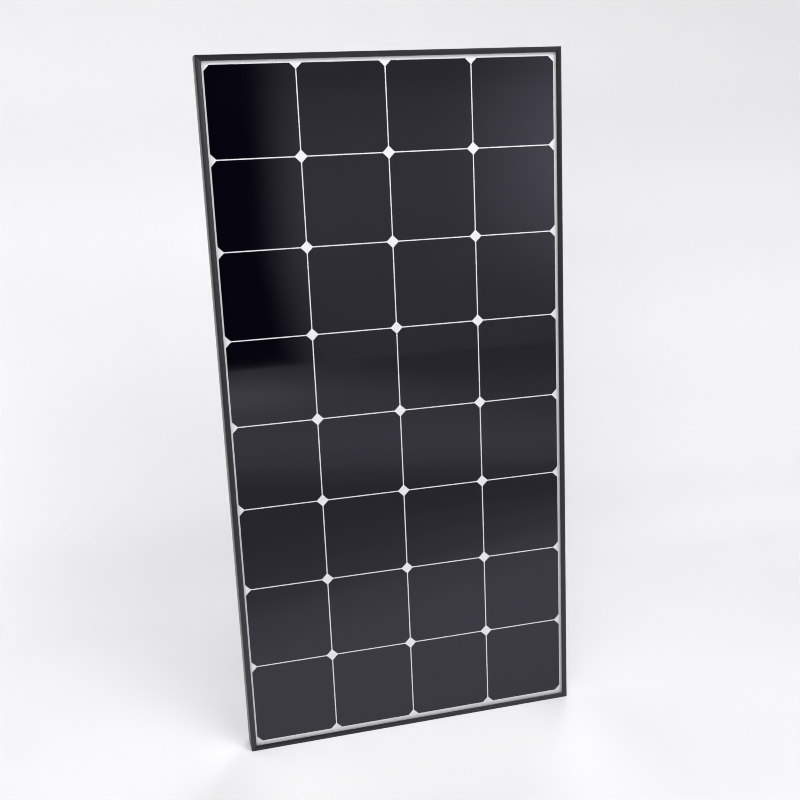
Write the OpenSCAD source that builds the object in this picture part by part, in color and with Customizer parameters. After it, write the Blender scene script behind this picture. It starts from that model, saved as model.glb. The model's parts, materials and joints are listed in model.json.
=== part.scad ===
// Framed solar panel with back-contact cells and a rear junction box.
// It stands on its bottom rail: +X along the width, +Y towards the back, +Z up the height.
// The glass faces -Y. The origin is the centre of the footprint, on the bottom face.

/* [Cells] */
// Number of cells up the panel
cell_rows = 8; // [4:1:8]
// Side of one square wafer
cell_side = 125.5; // [120:0.5:126]
// Diameter of the round ingot that clips the wafer's corners
ingot_d = 166.5; // [160:0.5:170]
// Gap between neighbouring cells
cell_gap = 1.5; // [1.5:0.5:4]
// White margin between the cells and the frame's lip, at the sides
side_margin = 2.75; // [2.5:0.25:10]
// White margin between the cells and the frame's lip, at the top and bottom
end_margin = 4.75; // [4:0.25:10]

/* [Frame] */
// Depth of the frame, front to back
frame_depth = 35; // [33:1:46]
// Width of the lip that covers the glass edge
lip_w = 8; // [7:0.5:12]
// Width of the sloping inner part of the lip
lip_bevel = 2; // [0.5:0.5:3]
// Thickness of the extrusion's outer wall and lip
wall_t = 1.6; // [1.4:0.1:2]
// Width of the back flange on the long rails
long_flange_w = 28; // [26:1:32]
// Width of the back flange on the short rails
short_flange_w = 20; // [18:1:22]
// Gap left in each mitred corner joint
mitre_gap = 0.1; // [0:0.05:0.3]

/* [Frame openings] */
// Width of a mounting slot
slot_w = 9; // [7:0.5:9]
// Length of a mounting slot, end to end
slot_len = 14; // [12:1:18]
// Diameter of a grounding hole
ground_hole_d = 4.2; // [3:0.1:6]
// Distance of slots and holes from the long rail's outer face
flange_hole_u = 19.5; // [19:0.5:20]

/* [Laminate] */
// Thickness of the front glass
glass_t = 3.2; // [3:0.1:4]
// Thickness of the clear layer in front of the cells
front_eva_t = 0.45; // [0.3:0.05:0.6]
// Thickness of a cell
cell_t = 0.2; // [0.15:0.01:0.25]
// Thickness of the white layer around and behind the cells
rear_eva_t = 0.8; // [0.7:0.05:1]
// Thickness of the backsheet
backsheet_t = 0.35; // [0.25:0.05:0.5]

/* [Junction box] */
// Width of the box
box_w = 110; // [110:1:130]
// Height of the box, along the panel
box_h = 78; // [74:1:90]
// Depth of the base, from its floor to the lid
box_base_d = 18; // [17:0.5:20]
// Thickness of the walls
box_wall = 2.6; // [2.4:0.1:3]
// Distance of the two cable glands from the centre line
gland_x = 32; // [30:1:34]
// Radius of the cable that the gland seals grip
cable_r = 2.9; // [2.5:0.1:3.1]

/* [Hidden] */
$fn = 64;
eps = 1;

// Four columns make two pairs of strings, which the ribbons and diodes are laid out for.
cell_cols = 4;
array_w = cell_cols * cell_side + (cell_cols - 1) * cell_gap;
array_h = cell_rows * cell_side + (cell_rows - 1) * cell_gap;
panel_w = array_w + 2 * (side_margin + lip_w);
panel_h = array_h + 2 * (end_margin + lip_w);
front_y = -frame_depth / 2;
back_y = frame_depth / 2;
pitch = cell_side + cell_gap;
array_top = lip_w + end_margin + array_h;
array_bottom = lip_w + end_margin;

// Frame extrusion, as distances in from the outer face and back from the front face
edge_chamfer = 0.6;
lip_t = 1.8;
lip_edge_t = 0.9;
seal_front_t = 0.5;
seal_rear_t = 0.35;
seal_cover_w = lip_w - 0.5;
ledge_t = 1.5;
inner_wall_t = 1.5;
ledge_w = 11;
flange_t = 1.6;
drain_w = 10;
drain_depth = 3.5;
drain_inset = 60;
mount_step = 20;
slot_spacing = mount_step * round(0.6 * panel_h / mount_step);
ground_spacing = mount_step * round(0.29 * panel_h / mount_step);

// Corner keys
key_clearance = 0.15;
key_leg = 40;
tooth_pitch = 4;
tooth_depth = 0.5;
tooth_count = 6;

// Laminate stack: the y of each layer's front face
glass_edge = 3;
sheet_edge = 3.5;
glass_chamfer = 0.5;
glass_y = front_y + lip_t + seal_front_t;
front_eva_y = glass_y + glass_t;
cell_y = front_eva_y + front_eva_t;
tab_y = cell_y + cell_t;
tab_t = 0.15;
bus_y = tab_y + tab_t;
bus_t = 0.2;
lead_y = bus_y + bus_t;
lead_t = 0.15;
backsheet_y = cell_y + rear_eva_t;
laminate_back_y = backsheet_y + backsheet_t;
ledge_y = laminate_back_y + seal_rear_t;
chamber_y = ledge_y + ledge_t;
chamber_back_y = back_y - flange_t;

// Tabs between cells, and the ribbons that collect their current
tab_pad_w = 8;
tab_pad_h = 14;
tab_pad_offsets = [-40, 0, 40];
tab_strip_w = 92;
tab_strip_h = 3;
end_pad_h = 8;
bus_w = 5;
bus_inset = 7;
bus_drop = 10;
lead_w = 5;
bus_high_z = array_top - bus_inset;
bus_low_z = bus_high_z - bus_drop;

// Junction box
box_adhesive_t = 0.8;
box_floor_t = 2.2;
box_corner_r = 5;
lid_d = 5;
lid_plate_t = 2;
lid_gap = 0.1;
box_top_gap = 20;
box_top = panel_h - short_flange_w - box_top_gap;
box_bottom = box_top - box_h;
box_z = (box_top + box_bottom) / 2;
box_y = laminate_back_y + box_adhesive_t;
box_inner_y = box_y + box_floor_t;
box_rim_y = box_y + box_base_d;
lid_y = box_rim_y + lid_gap;
lid_back_y = lid_y + lid_d;
window_w = 76;
window_h = 12;
window_z = box_top - 10;
window_slit_w = 7;
window_slit_h = 1.2;
adhesive_inset = 1;
gasket_w = 1.2;
gasket_h = 1;
gasket_inset = (box_wall - gasket_w) / 2;

// Lid hinge: the lid's trunnions turn in the base's ears
hinge_y = box_rim_y;
hinge_z = box_top + 3.4;
knuckle_r = 3;
ear_r = 3.2;
trunnion_r = 1.5;
trunnion_clearance = 0.06;
ear_x = 36;
ear_t = 4;
knuckle_w = 6;
hinge_side_gap = 0.2;

// Lid latches
latch_x = 48;
latch_w = 8;
latch_t = 1.6;
latch_reach = 6.5;
latch_gap = 0.8;
catch_h = 0.7;
catch_w = 6;
catch_d = 2;
latch_tooth_drop = 0.2;

// Cable glands
gland_y = (box_y + box_rim_y) / 2;
spigot_r = 5.5;
spigot_len = 9;
seal_r = 4.3;
seal_play = 0.05;
nut_flats = 15;
nut_len = 12;
nut_end_t = 2;
nut_mouth_r = 3.4;
nut_thread_play = 0.08;
nut_standoff = 0.5;

// Terminals, screws and diodes
terminal_x = [-gland_x, 0, gland_x];
terminal_w = 10;
terminal_t = 0.8;
terminal_low = box_bottom + 14;
terminal_high = window_z - 7;
pedestal_w = 12;
pedestal_y = box_inner_y + 4.6;
pedestal_low = terminal_low + 4;
pedestal_high = terminal_high - 8;
terminal_top_y = pedestal_y + terminal_t;
screw_z = pedestal_high - 6;
screw_r = 1.25;
screw_hole_r = 1.6;
screw_head_r = 2.8;
screw_head_h = 1.8;
screw_depth = 3.6;
screw_recess_w = 0.8;
screw_recess_depth = 0.9;
diode_z = terminal_low + 16;
diode_y = terminal_top_y + 3.7;
diode_r = 2.65;
diode_len = 9.5;
diode_lead_r = 0.6;
diode_lead_reach = 12.6;
fork_h = 6;
fork_w = 6;
fork_t = 0.8;
fork_play = 0.03;
barrel_w = 5;
barrel_len = 10;
barrel_h = 4;

// Rating label, left blank
label_w = 120;
label_h = 64;
label_t = 0.15;
label_z = box_bottom - 70;

cell_names = [for (row = [1 : cell_rows]) for (col = [1 : cell_cols]) cell_name(row, col)];

// Rows count down from the top and columns from the left, seen from the front.
function cell_name(row, col) = str("cell_", row, "_", col);
function col_x(col) = (col - (cell_cols + 1) / 2) * pitch;
function row_z(row) = array_top - cell_side / 2 - (row - 1) * pitch;

// Extrudes a flat (x, z) shape along y.
module xz_extrude(y_from, y_to) {
    translate([0, y_to, 0]) rotate([90, 0, 0]) linear_extrude(y_to - y_from) children();
}

// Extrudes a flat (y, z) shape along x.
module yz_extrude(x_from, x_to) {
    translate([x_from, 0, 0]) rotate([90, 0, 90]) linear_extrude(x_to - x_from) children();
}

// A slab given by its lowest and highest corners.
module slab(low, high) {
    translate(low) cube(high - low);
}

// A sheet the size of the panel less an edge all round, from y_from to y_to.
module sheet(edge, y_from, y_to) {
    slab([-panel_w / 2 + edge, y_from, edge], [panel_w / 2 - edge, y_to, panel_h - edge]);
}

module rounded_square(w, h, r) {
    square([w - 2 * r, h], center = true);
    square([w, h - 2 * r], center = true);
    for (sx = [-1, 1]) for (sz = [-1, 1])
        translate([sx * (w / 2 - r), sz * (h / 2 - r)]) circle(r);
}

// ---- Frame ----

// Cross-section of a rail, as (distance in from the outer face, y).
module rail_section(flange_w) {
    difference() {
        polygon([
            [edge_chamfer, front_y], [lip_w - lip_bevel, front_y],
            [lip_w, front_y + lip_edge_t], [lip_w, front_y + lip_t],
            [wall_t, front_y + lip_t], [wall_t, ledge_y],
            [ledge_w, ledge_y], [ledge_w, chamber_back_y],
            [flange_w, chamber_back_y], [flange_w, back_y],
            [edge_chamfer, back_y], [0, back_y - edge_chamfer], [0, front_y + edge_chamfer]
        ]);
        translate([wall_t, chamber_y])
            square([ledge_w - inner_wall_t - wall_t, chamber_back_y - chamber_y]);
    }
}

// A rail along z with its outer face at x = 0 and both ends mitred at 45 degrees.
module rail(length, flange_w) {
    shift = mitre_gap / sqrt(2);
    reach = flange_w + eps;
    intersection() {
        linear_extrude(length) rail_section(flange_w);
        xz_extrude(front_y - eps, back_y + eps) polygon([
            [0, shift], [reach, reach + shift],
            [reach, length - reach - shift], [0, length - shift]
        ]);
    }
}

module flange_drill(r, z) {
    translate([flange_hole_u, back_y + eps, z])
        rotate([90, 0, 0]) cylinder(r = r, h = flange_t + 2 * eps);
}

module mounting_slot(z) {
    half_run = (slot_len - slot_w) / 2;
    flange_drill(slot_w / 2, z - half_run);
    flange_drill(slot_w / 2, z + half_run);
    slab([flange_hole_u - slot_w / 2, chamber_back_y - eps, z - half_run],
         [flange_hole_u + slot_w / 2, back_y + eps, z + half_run]);
}

module long_rail() {
    difference() {
        rail(panel_h, long_flange_w);
        for (side = [-1, 1]) {
            mounting_slot(panel_h / 2 + side * slot_spacing / 2);
            flange_drill(ground_hole_d / 2, panel_h / 2 + side * ground_spacing / 2);
        }
    }
}

module short_rail() {
    difference() {
        rail(panel_w, short_flange_w);
        for (z = [drain_inset, panel_w - drain_inset])
            slab([short_flange_w - drain_depth, chamber_back_y - eps, z - drain_w / 2],
                 [short_flange_w + eps, back_y + eps, z + drain_w / 2]);
    }
}

module frame_rail_left() {
    color("#17181b") translate([-panel_w / 2, 0, 0]) long_rail();
}

module frame_rail_right() {
    color("#17181b") mirror([1, 0, 0]) translate([-panel_w / 2, 0, 0]) long_rail();
}

module frame_rail_top() {
    color("#17181b") translate([-panel_w / 2, 0, panel_h]) rotate([0, 90, 0]) short_rail();
}

module frame_rail_bottom() {
    color("#17181b") translate([-panel_w / 2, 0, 0])
        mirror([0, 0, 1]) rotate([0, 90, 0]) short_rail();
}

// An L of two toothed legs that plugs into the chambers of two rails, in the bottom left corner.
module corner_key() {
    outer = wall_t + key_clearance;
    inner = ledge_w - inner_wall_t - key_clearance;
    teeth = [for (i = [0 : tooth_count - 1]) for (point = [
        [inner, key_leg - i * tooth_pitch],
        [inner - tooth_depth, key_leg - (i + 1) * tooth_pitch]]) point];
    mirrored = [for (i = [len(teeth) - 1 : -1 : 0]) [teeth[i][1], teeth[i][0]]];
    translate([-panel_w / 2, 0, 0])
        xz_extrude(chamber_y + key_clearance, chamber_back_y - key_clearance)
            polygon(concat(
                [[outer, outer], [outer, key_leg]], teeth,
                [[inner - tooth_depth, inner - tooth_depth]], mirrored,
                [[key_leg, outer]]));
}

module corner_key_bottom_left() {
    color("#8d9094") corner_key();
}

module corner_key_bottom_right() {
    color("#8d9094") mirror([1, 0, 0]) corner_key();
}

module corner_key_top_left() {
    color("#8d9094") translate([0, 0, panel_h]) mirror([0, 0, 1]) corner_key();
}

module corner_key_top_right() {
    color("#8d9094") mirror([1, 0, 0]) translate([0, 0, panel_h]) mirror([0, 0, 1]) corner_key();
}

// A U-section ring that fills the frame's groove around the edge of the laminate.
module laminate_seal() {
    color("#26272a") difference() {
        sheet(wall_t, front_y + lip_t, ledge_y);
        sheet(seal_cover_w, front_y, ledge_y + eps);
        sheet(glass_edge, glass_y, front_eva_y);
        sheet(sheet_edge, front_eva_y, laminate_back_y);
    }
}

// ---- Laminate ----

// Points of a rectangle with chamfered corners.
function chamfered(low, high, c) = [
    [low[0] + c, low[1]], [high[0] - c, low[1]], [high[0], low[1] + c], [high[0], high[1] - c],
    [high[0] - c, high[1]], [low[0] + c, high[1]], [low[0], high[1] - c], [low[0], low[1] + c]
];

module front_glass() {
    half_w = panel_w / 2 - glass_edge;
    color("#9fb4bf", 0.3) intersection() {
        yz_extrude(-half_w, half_w) polygon(chamfered(
            [glass_y, glass_edge], [front_eva_y, panel_h - glass_edge], glass_chamfer));
        translate([0, 0, glass_edge]) linear_extrude(panel_h - 2 * glass_edge) polygon(chamfered(
            [-half_w, glass_y], [half_w, front_eva_y], glass_chamfer));
    }
}

module front_encapsulant() {
    color("#eef2f4", 0.3) sheet(sheet_edge, front_eva_y, cell_y);
}

module wafer_outline() {
    intersection() {
        square(cell_side, center = true);
        circle(d = ingot_d);
    }
}

module at_cell(row, col) {
    translate([col_x(col), 0, row_z(row)]) children();
}

module cell(row, col) {
    color("#121217") at_cell(row, col) xz_extrude(cell_y, tab_y) wafer_outline();
}

// One tab that joins two cells across the gap between them, or the pads at a string's end.
module tab_pads(z, height) {
    for (x = tab_pad_offsets)
        slab([x - tab_pad_w / 2, tab_y, z - height / 2], [x + tab_pad_w / 2, bus_y, z + height / 2]);
}

module gap_tab(z) {
    tab_pads(z, tab_pad_h);
    slab([-tab_strip_w / 2, tab_y, z - tab_strip_h / 2], [tab_strip_w / 2, bus_y, z + tab_strip_h / 2]);
}

module tab_layer() {
    for (col = [1 : cell_cols]) translate([col_x(col), 0, 0]) {
        for (row = [1 : cell_rows - 1]) gap_tab(row_z(row) - pitch / 2);
        tab_pads(bus_high_z, end_pad_h);
        tab_pads(array_bottom + bus_inset, end_pad_h);
    }
}

module cell_interconnects() {
    color("#b9bcc0") tab_layer();
}

// A flat ribbon along x, centred on z.
module bus_run(x_from, x_to, z) {
    slab([x_from, bus_y, z - bus_w / 2], [x_to, lead_y, z + bus_w / 2]);
}

// The ribbon of an outer string: along its pads, down a step and in towards the box.
module outer_bus() {
    x_start = col_x(1) - tab_pad_offsets[2] - tab_pad_w / 2;
    x_step = col_x(1) + pitch / 2;
    bus_run(x_start, x_step + bus_w / 2, bus_high_z);
    slab([x_step - bus_w / 2, bus_y, bus_low_z - bus_w / 2],
         [x_step + bus_w / 2, lead_y, bus_high_z]);
    bus_run(x_step - bus_w / 2, terminal_x[0] + lead_w / 2, bus_low_z);
}

module bus_layer() {
    pads_reach = tab_pad_offsets[2] + tab_pad_w / 2;
    outer_bus();
    mirror([1, 0, 0]) outer_bus();
    bus_run(col_x(2) - pads_reach, col_x(3) + pads_reach, bus_high_z);
    for (col = [1, 3])
        bus_run(col_x(col) - pads_reach, col_x(col + 1) + pads_reach, array_bottom + bus_inset);
}

module bus_ribbons() {
    color("#c4c7ca") bus_layer();
}

// The upper end of the lead at x: on the middle ribbon, or on the lower run of an outer one.
function lead_top(x) = (x == 0 ? bus_high_z : bus_low_z) + bus_w / 2;

// A lead runs down behind the cells, out through the backsheet, and over its terminal.
module ribbon_lead(x) {
    end_z = terminal_high - 7;
    yz_extrude(x - lead_w / 2, x + lead_w / 2) polygon([
        [lead_y, lead_top(x)], [lead_y, window_z],
        [terminal_top_y, window_z], [terminal_top_y, end_z],
        [terminal_top_y + lead_t, end_z], [terminal_top_y + lead_t, window_z + lead_t],
        [lead_y + lead_t, window_z + lead_t], [lead_y + lead_t, lead_top(x)]
    ]);
}

module ribbon_leads() {
    color("#c4c7ca") for (x = terminal_x) ribbon_lead(x);
}

// Room for a lead inside the white layer: in its plane, then out to the back.
module lead_pocket(x) {
    slab([x - lead_w / 2, lead_y, window_z], [x + lead_w / 2, lead_y + lead_t, lead_top(x)]);
    lead_slit(x);
}

module lead_slit(x) {
    slab([x - window_slit_w / 2, lead_y + lead_t, window_z - window_slit_h / 2],
         [x + window_slit_w / 2, laminate_back_y + eps, window_z + window_slit_h / 2]);
}

module rear_encapsulant() {
    color("#eceef1") difference() {
        sheet(sheet_edge, cell_y, backsheet_y);
        xz_extrude(cell_y - eps, tab_y)
            for (row = [1 : cell_rows]) for (col = [1 : cell_cols])
                translate([col_x(col), row_z(row)]) wafer_outline();
        tab_layer();
        bus_layer();
        for (x = terminal_x) lead_pocket(x);
    }
}

module backsheet() {
    color("#f2f3f4") difference() {
        sheet(sheet_edge, backsheet_y, laminate_back_y);
        for (x = terminal_x) lead_slit(x);
    }
}

module rating_label() {
    color("#d9dbdd") slab([-label_w / 2, laminate_back_y, label_z - label_h / 2],
                          [label_w / 2, laminate_back_y + label_t, label_z + label_h / 2]);
}

// ---- Junction box ----

module window_cut() {
    slab([-window_w / 2, laminate_back_y - eps, window_z - window_h / 2],
         [window_w / 2, box_inner_y + eps, window_z + window_h / 2]);
}

module box_ring(inset, r, y_from, y_to) {
    translate([0, 0, box_z]) xz_extrude(y_from, y_to)
        rounded_square(box_w - 2 * inset, box_h - 2 * inset, r);
}

module box_adhesive() {
    color("#d7d8d6") difference() {
        box_ring(adhesive_inset, box_corner_r - adhesive_inset, laminate_back_y, box_y);
        window_cut();
    }
}

// The groove for the gasket, in the rim of the base.
module gasket_ring(depth_play) {
    difference() {
        box_ring(gasket_inset, box_corner_r - gasket_inset,
                 box_rim_y - gasket_h, box_rim_y - depth_play);
        box_ring(gasket_inset + gasket_w, box_corner_r - gasket_inset - gasket_w,
                 box_rim_y - gasket_h - eps, box_rim_y + eps);
    }
}

// One ear, as an arm from the top wall to the round that holds a trunnion.
module hinge_ear() {
    arm_low = box_top - box_wall;
    difference() {
        yz_extrude(ear_x, ear_x + ear_t) {
            translate([hinge_y, hinge_z]) circle(ear_r);
            polygon([[hinge_y - 10, arm_low], [hinge_y - 1, arm_low], [hinge_y - 1, hinge_z],
                     [hinge_y - ear_r, hinge_z]]);
        }
        translate([ear_x - eps, hinge_y, hinge_z]) rotate([0, 90, 0])
            cylinder(r = trunnion_r + trunnion_clearance, h = ear_t + 2 * eps);
    }
}

module latch_catch() {
    low = box_bottom - catch_h;
    yz_extrude(latch_x - catch_w / 2, latch_x + catch_w / 2) polygon([
        [box_rim_y - 4 - catch_d, box_bottom + eps], [box_rim_y - 4 - catch_d, low],
        [box_rim_y - 4 - catch_d / 2, low], [box_rim_y - 3, box_bottom + eps]]);
}

module gland_axis(x) {
    translate([x, gland_y, box_bottom]) mirror([0, 0, 1]) children();
}

module junction_box_base() {
    color("#1b1c1e") difference() {
        union() {
            difference() {
                box_ring(0, box_corner_r, box_y, box_rim_y);
                box_ring(box_wall, box_corner_r - box_wall, box_inner_y, box_rim_y + eps);
            }
            for (x = terminal_x)
                slab([x - pedestal_w / 2, box_inner_y - eps, pedestal_low],
                     [x + pedestal_w / 2, pedestal_y, pedestal_high]);
            for (side = [0, 1]) mirror([side, 0, 0]) {
                hinge_ear();
                latch_catch();
            }
            for (x = [-gland_x, gland_x])
                gland_axis(x) cylinder(r = spigot_r, h = spigot_len);
        }
        window_cut();
        gasket_groove();
        for (x = [-gland_x, gland_x]) gland_axis(x) translate([0, 0, -box_wall - eps])
            cylinder(r = seal_r + seal_play, h = spigot_len + box_wall + 2 * eps);
        for (x = terminal_x) screw_place(x) cylinder(r = screw_r, h = terminal_t + screw_depth);
    }
}

module gasket_groove() {
    gasket_ring(-eps);
}

module lid_gasket() {
    color("#303133") gasket_ring(lid_gap);
}

// The lid's arm, knuckle and trunnion on one side.
module hinge_knuckle() {
    knuckle_x = ear_x - hinge_side_gap - knuckle_w;
    yz_extrude(knuckle_x, knuckle_x + knuckle_w) {
        translate([hinge_y, hinge_z]) circle(knuckle_r);
        polygon([[lid_y, box_top - eps], [lid_back_y - lid_plate_t, box_top - eps],
                 [hinge_y + knuckle_r, box_top + eps], [hinge_y + knuckle_r, hinge_z],
                 [hinge_y, hinge_z]]);
    }
    translate([knuckle_x + knuckle_w - eps, hinge_y, hinge_z]) rotate([0, 90, 0])
        cylinder(r = trunnion_r, h = ear_t + hinge_side_gap + eps);
}

// A tongue that hangs from the lid's lower edge and passes in front of the catch.
module latch_tongue() {
    outer = box_bottom - latch_gap - latch_t;
    inner = box_bottom - latch_gap;
    tip_y = box_rim_y - latch_reach;
    tooth_y = box_rim_y - 4 - catch_d - latch_tooth_drop;
    yz_extrude(latch_x - latch_w / 2, latch_x + latch_w / 2) polygon([
        [lid_back_y - lid_plate_t, outer], [lid_back_y, outer + lid_plate_t],
        [lid_back_y, box_bottom + eps], [lid_y + 1, box_bottom + eps], [lid_y + 1, inner],
        [tooth_y, inner], [tip_y, inner - latch_tooth_drop], [tip_y, outer]]);
}

module junction_box_lid() {
    inner_r = box_corner_r - box_wall;
    color("#1b1c1e") {
        difference() {
            box_ring(0, box_corner_r, lid_y, lid_back_y);
            box_ring(box_wall, inner_r, lid_y - eps, lid_back_y - lid_plate_t);
        }
        for (side = [0, 1]) mirror([side, 0, 0]) {
            hinge_knuckle();
            latch_tongue();
        }
    }
}

module gland_nut() {
    difference() {
        translate([0, 0, nut_standoff])
            cylinder(r = nut_flats / sqrt(3), h = nut_len, $fn = 6);
        translate([0, 0, -eps])
            cylinder(r = spigot_r + nut_thread_play, h = nut_standoff + nut_len - nut_end_t + eps);
        cylinder(r = nut_mouth_r, h = nut_standoff + nut_len + eps);
    }
}

module gland_nuts() {
    color("#222326") for (x = [-gland_x, gland_x]) gland_axis(x) gland_nut();
}

module gland_seals() {
    seal_low = -box_wall;
    seal_len = box_wall + nut_standoff + nut_len - nut_end_t;
    color("#0e0e0f") for (x = [-gland_x, gland_x]) gland_axis(x) translate([0, 0, seal_low])
        difference() {
            cylinder(r = seal_r, h = seal_len);
            translate([0, 0, -eps]) cylinder(r = cable_r, h = seal_len + 2 * eps);
        }
}

// The axis of a terminal's screw, from the terminal's top face into the pedestal.
module screw_place(x) {
    translate([x, terminal_top_y, screw_z]) rotate([90, 0, 0]) children();
}

// A plate that stands on a terminal and holds a diode's lead in its open slot.
module diode_fork(x) {
    slot_half = diode_lead_r + fork_play;
    yz_extrude(x - fork_t / 2, x + fork_t / 2) difference() {
        translate([terminal_top_y - terminal_t / 2, diode_z - fork_w / 2])
            square([fork_h + terminal_t / 2, fork_w]);
        translate([diode_y, diode_z]) circle(slot_half);
        translate([diode_y, diode_z - slot_half]) square([fork_h, 2 * slot_half]);
    }
}

module terminal(x) {
    difference() {
        slab([x - terminal_w / 2, pedestal_y, terminal_low],
             [x + terminal_w / 2, terminal_top_y, terminal_high]);
        screw_place(x) translate([0, 0, -eps])
            cylinder(r = screw_hole_r, h = terminal_t + 2 * eps);
    }
    for (side = [-1, 1])
        if (abs(x + side * terminal_w / 2) < gland_x)
            diode_fork(x + side * (terminal_w - fork_t) / 2);
}

// Two upright walls that fold over a cable's end.
module crimp_barrel(x) {
    for (side = [-1, 1]) translate([x + side * (barrel_w + terminal_t) / 2, 0, 0])
        slab([-terminal_t / 2, terminal_top_y - terminal_t / 2, terminal_low],
             [terminal_t / 2, terminal_top_y + barrel_h, terminal_low + barrel_len]);
}

module output_terminals() {
    color("#b7b09a") {
        for (x = terminal_x) terminal(x);
        crimp_barrel(terminal_x[0]);
        crimp_barrel(terminal_x[2]);
    }
}

module terminal_screw() {
    difference() {
        union() {
            cylinder(r = screw_r, h = terminal_t + screw_depth);
            translate([0, 0, -screw_head_h]) cylinder(r = screw_head_r, h = screw_head_h);
        }
        for (turn = [0, 90]) rotate([0, 0, turn])
            translate([-screw_head_r * 0.6, -screw_recess_w / 2, -screw_head_h - eps])
                cube([screw_head_r * 1.2, screw_recess_w, screw_recess_depth + eps]);
    }
}

module terminal_screws() {
    color("#9a9ca0") for (x = terminal_x) screw_place(x) terminal_screw();
}

module bypass_diode(x) {
    translate([x, diode_y, diode_z]) rotate([0, 90, 0]) {
        cylinder(r = diode_r, h = diode_len, center = true);
        cylinder(r = diode_lead_r, h = 2 * diode_lead_reach, center = true);
    }
}

module bypass_diode_left() {
    color("#1a1a1c") bypass_diode((terminal_x[0] + terminal_x[1]) / 2);
}

module bypass_diode_right() {
    color("#1a1a1c") bypass_diode((terminal_x[1] + terminal_x[2]) / 2);
}

frame_rail_left();
frame_rail_right();
frame_rail_top();
frame_rail_bottom();
corner_key_top_left();
corner_key_top_right();
corner_key_bottom_left();
corner_key_bottom_right();
laminate_seal();
front_glass();
front_encapsulant();
rear_encapsulant();
backsheet();
cell_interconnects();
bus_ribbons();
ribbon_leads();
box_adhesive();
junction_box_base();
junction_box_lid();
lid_gasket();
output_terminals();
terminal_screws();
bypass_diode_left();
bypass_diode_right();
gland_nuts();
gland_seals();
rating_label();
for (row = [1 : cell_rows]) for (col = [1 : cell_cols])
    cell(row, col);
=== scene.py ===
"""Looks of the framed solar panel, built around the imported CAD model. Metres, +Z up, glass facing -Y."""
import json
import math
import random

import bmesh
import bpy
from mathutils import Matrix, Vector, noise


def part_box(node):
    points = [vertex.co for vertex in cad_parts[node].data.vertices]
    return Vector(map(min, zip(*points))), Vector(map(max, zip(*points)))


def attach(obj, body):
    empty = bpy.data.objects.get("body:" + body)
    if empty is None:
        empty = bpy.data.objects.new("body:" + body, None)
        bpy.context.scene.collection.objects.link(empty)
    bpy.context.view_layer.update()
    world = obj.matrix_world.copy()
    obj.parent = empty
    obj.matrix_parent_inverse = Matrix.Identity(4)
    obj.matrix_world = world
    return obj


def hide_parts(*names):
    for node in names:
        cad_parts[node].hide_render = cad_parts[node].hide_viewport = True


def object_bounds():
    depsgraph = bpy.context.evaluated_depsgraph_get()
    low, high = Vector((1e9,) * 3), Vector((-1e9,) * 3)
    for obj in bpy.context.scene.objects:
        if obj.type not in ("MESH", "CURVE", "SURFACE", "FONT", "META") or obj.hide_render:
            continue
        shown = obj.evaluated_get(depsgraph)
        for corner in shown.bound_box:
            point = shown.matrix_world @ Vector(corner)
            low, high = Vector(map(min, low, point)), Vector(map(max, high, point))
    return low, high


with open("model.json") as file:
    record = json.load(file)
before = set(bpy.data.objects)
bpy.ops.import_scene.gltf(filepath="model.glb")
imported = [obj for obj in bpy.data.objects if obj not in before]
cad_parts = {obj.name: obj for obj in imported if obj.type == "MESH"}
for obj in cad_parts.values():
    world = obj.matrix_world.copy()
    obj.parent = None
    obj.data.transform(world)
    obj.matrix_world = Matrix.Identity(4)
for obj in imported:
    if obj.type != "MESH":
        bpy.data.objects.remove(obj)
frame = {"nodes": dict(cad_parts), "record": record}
cad_low, cad_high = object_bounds()
record = frame["record"]
nodes = frame["nodes"]
slot_of = {part["node"]: part["material_slot"] for part in record["subparts"]}
body_of = {n: body for body, members in record["behaviour"]["bodies"].items() for n in members}

MM = 0.001
panel_low = Vector(cad_low)
glass_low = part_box("front_glass")[0]
backsheet_low, backsheet_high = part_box("backsheet")
box_base_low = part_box("junction_box_base")[0]
cell_low, cell_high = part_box("cell_1_1")
cells_top = cell_high.z
cell_side = cell_high.x - cell_low.x
cell_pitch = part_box("cell_1_2")[0].x - cell_low.x


# ---- Camera ----

CAMERA_PLACE = Vector((-0.3906, -1.5623, 0.9170))
CAMERA_FORWARD = Vector((0.2378, 0.9433, -0.2316))
CAMERA_UP = Vector((0.0994, 0.2135, 0.9719))
CAMERA_LENS_MM = 49.04
SENSOR_MM = 36.0


def make_camera():
    """A camera to the left of the panel, a little below its top, that looks down at it slightly."""
    data = bpy.data.cameras.new("camera")
    data.lens = CAMERA_LENS_MM
    data.sensor_width = SENSOR_MM
    camera = bpy.data.objects.new("camera", data)
    back = -CAMERA_FORWARD.normalized()
    right = CAMERA_UP.cross(back).normalized()
    up = back.cross(right)
    turn = Matrix((right, up, back)).transposed()
    camera.matrix_world = Matrix.Translation(CAMERA_PLACE) @ turn.to_4x4()
    bpy.context.scene.collection.objects.link(camera)
    bpy.context.scene.camera = camera


# ---- Node helpers ----

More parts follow.
